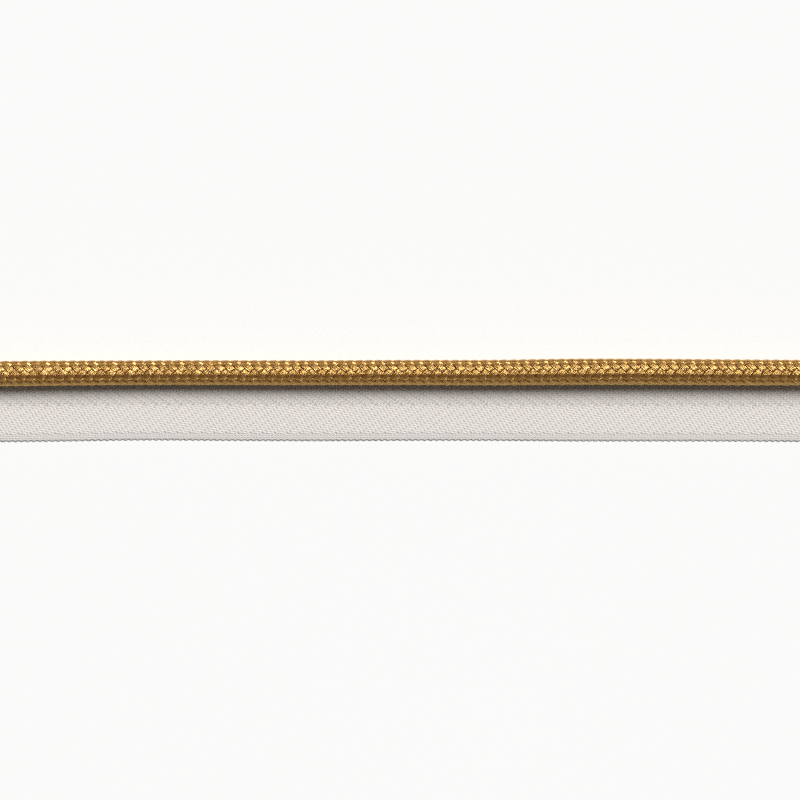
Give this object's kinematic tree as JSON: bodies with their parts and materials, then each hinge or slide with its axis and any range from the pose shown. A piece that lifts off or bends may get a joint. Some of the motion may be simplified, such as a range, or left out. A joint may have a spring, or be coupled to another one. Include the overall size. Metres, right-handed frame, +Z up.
{
  "type": "silk lip cord",
  "caption": "Round braided silk cord sewn along the edge of a flat herringbone tape, whose free lip is caught in a seam to trim it.",
  "frame": {"origin": "on the surface, under the middle of the cut length and of its width", "axes": "+X along the cord, +Y from the lip's free edge towards the cord, +Z up from the surface to the face that shows"},
  "size_m": [0.2, 0.0194, 0.0074],
  "materials": {
    "gold_silk": "glossy filament silk in flat tows, braided",
    "ivory_twill": "soft spun yarn in a herringbone twill"
  },
  "bodies": {
    "root": {"braided_cord": "gold_silk", "lip_tape": "ivory_twill"}
  },
  "joints": []
}
